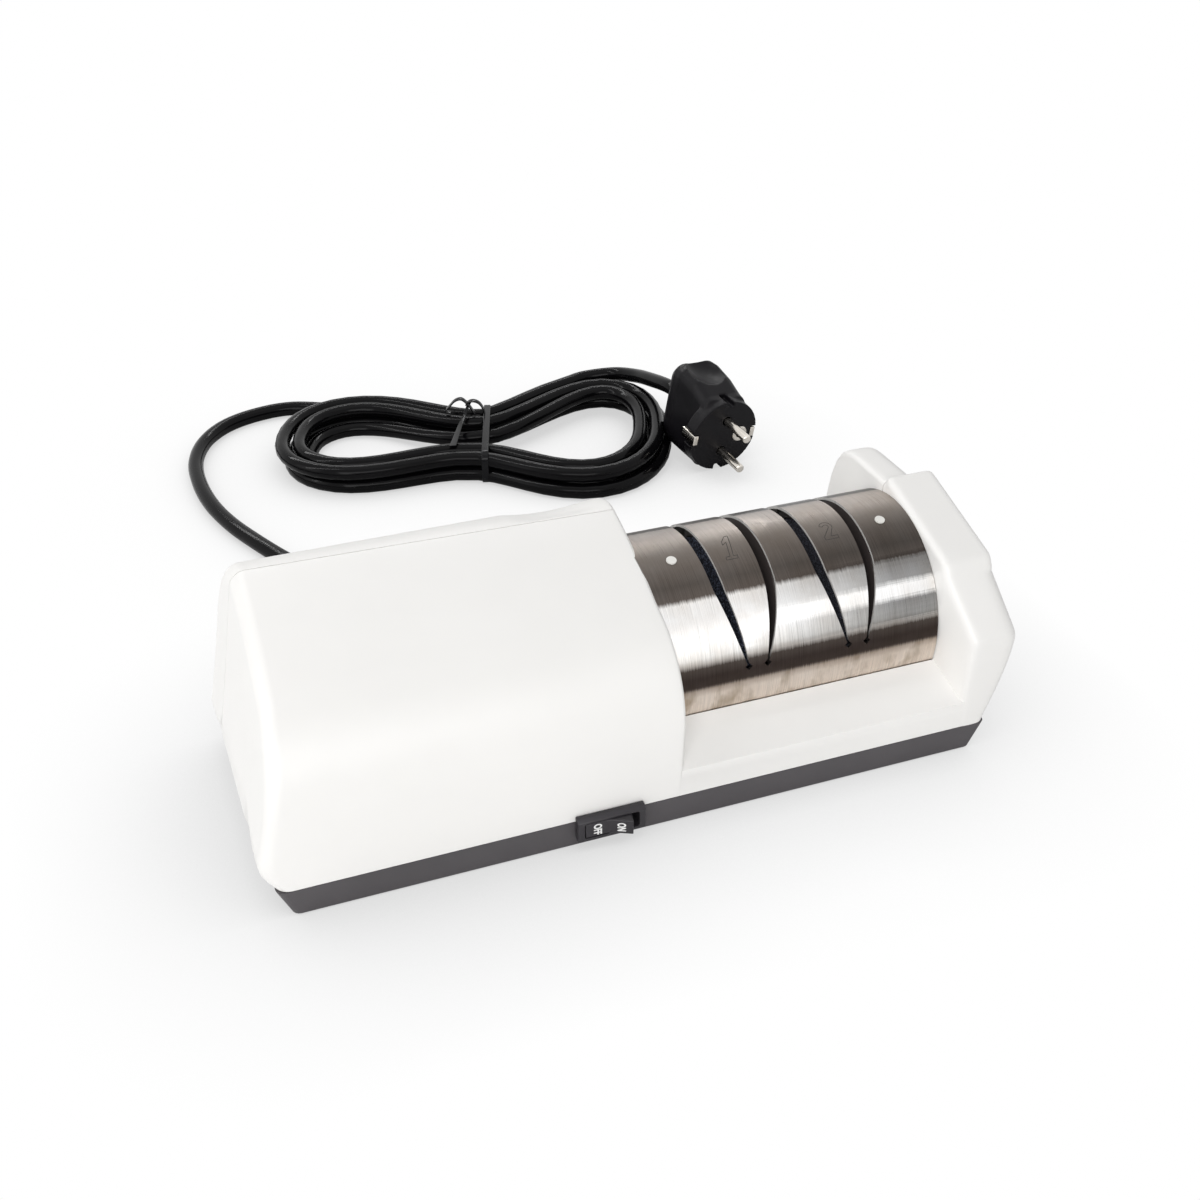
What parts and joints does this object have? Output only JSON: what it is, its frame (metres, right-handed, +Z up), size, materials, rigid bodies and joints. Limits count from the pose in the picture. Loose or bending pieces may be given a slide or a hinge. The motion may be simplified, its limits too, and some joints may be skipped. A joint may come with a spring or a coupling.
{
  "type": "electric knife sharpener",
  "caption": "Electric knife sharpener: motor housing beside a curved steel guide with angled slots over abrasive wheels, rocker switch in front, cord in a tied hank.",
  "frame": {"origin": "on the table, under the middle of the body, cord not counted", "axes": "+X towards the sharpening end, +Y towards the back where the cord leaves, +Z up"},
  "size_m": [0.3268, 0.4428, 0.0977],
  "materials": {
    "shell_white": "satin",
    "base_grey": "fine texture",
    "guide_steel": "brushed",
    "insert_plastic": "satin",
    "grit_coarse": "rough, speckled grit",
    "grit_fine": "rough, fine grit",
    "frame_nylon": "satin",
    "turned_steel": "turned",
    "core_steel": "laminated",
    "copper_wire": "enamelled",
    "bearing_bronze": "satin",
    "switch_black": "gloss",
    "coupling_black": "satin",
    "foot_rubber": "matt",
    "cord_black": "satin",
    "plug_black": "fine texture",
    "plug_nickel": "polished"
  },
  "bodies": {
    "housing": {"base_tray": "base_grey", "front_shell": "shell_white", "rear_shell": "shell_white", "steel_guide": "guide_steel", "guide_frame": "frame_nylon", "guide_insert_left": "insert_plastic", "guide_insert_middle": "insert_plastic", "guide_insert_right": "insert_plastic", "bearing_stand_left": "frame_nylon", "bearing_stand_right": "frame_nylon", "spindle_bearing_left": "turned_steel", "spindle_bearing_right": "turned_steel", "stator_core": "core_steel", "winding_left": "copper_wire", "winding_right": "copper_wire", "motor_plate_left": "core_steel", "motor_plate_right": "core_steel", "motor_bearing_left": "bearing_bronze", "motor_bearing_right": "bearing_bronze", "switch_body": "switch_black", "cord_gland": "cord_black", "cord_lead": "cord_black", "cord_hank": "cord_black", "cord_tail": "cord_black", "cord_tie": "coupling_black", "plug_body": "plug_black", "plug_pin_left": "plug_nickel", "plug_pin_right": "plug_nickel", "plug_clip_top": "plug_nickel", "plug_clip_bottom": "plug_nickel", "foot_1": "foot_rubber", "motor_bolt_1": "turned_steel", "foot_2": "foot_rubber", "motor_bolt_2": "turned_steel", "foot_3": "foot_rubber", "motor_bolt_3": "turned_steel", "foot_4": "foot_rubber", "motor_bolt_4": "turned_steel"},
    "spindle": {"spindle_shaft": "turned_steel", "wheel_coarse": "grit_coarse", "wheel_fine": "grit_fine", "spacer_left": "turned_steel", "spacer_middle": "turned_steel", "spacer_right": "turned_steel", "spindle_nut": "bearing_bronze", "motor_shaft": "turned_steel", "rotor_core": "core_steel", "cooling_fan": "frame_nylon", "coupling": "coupling_black"},
    "rocker": {"switch_rocker": "switch_black"}
  },
  "joints": [
    {"name": "spindle_spin", "type": "hinge", "parent": "housing", "child": "spindle", "pos_m": [0, 0.00395, 0.048], "axis": [1, 0, 0], "continuous": true},
    {"name": "rocker_tilt", "type": "hinge", "parent": "housing", "child": "rocker", "pos_m": [-0.0229, -0.0536, 0.0105], "axis": [0, 0, 1], "range_deg": [0, 26]}
  ]
}
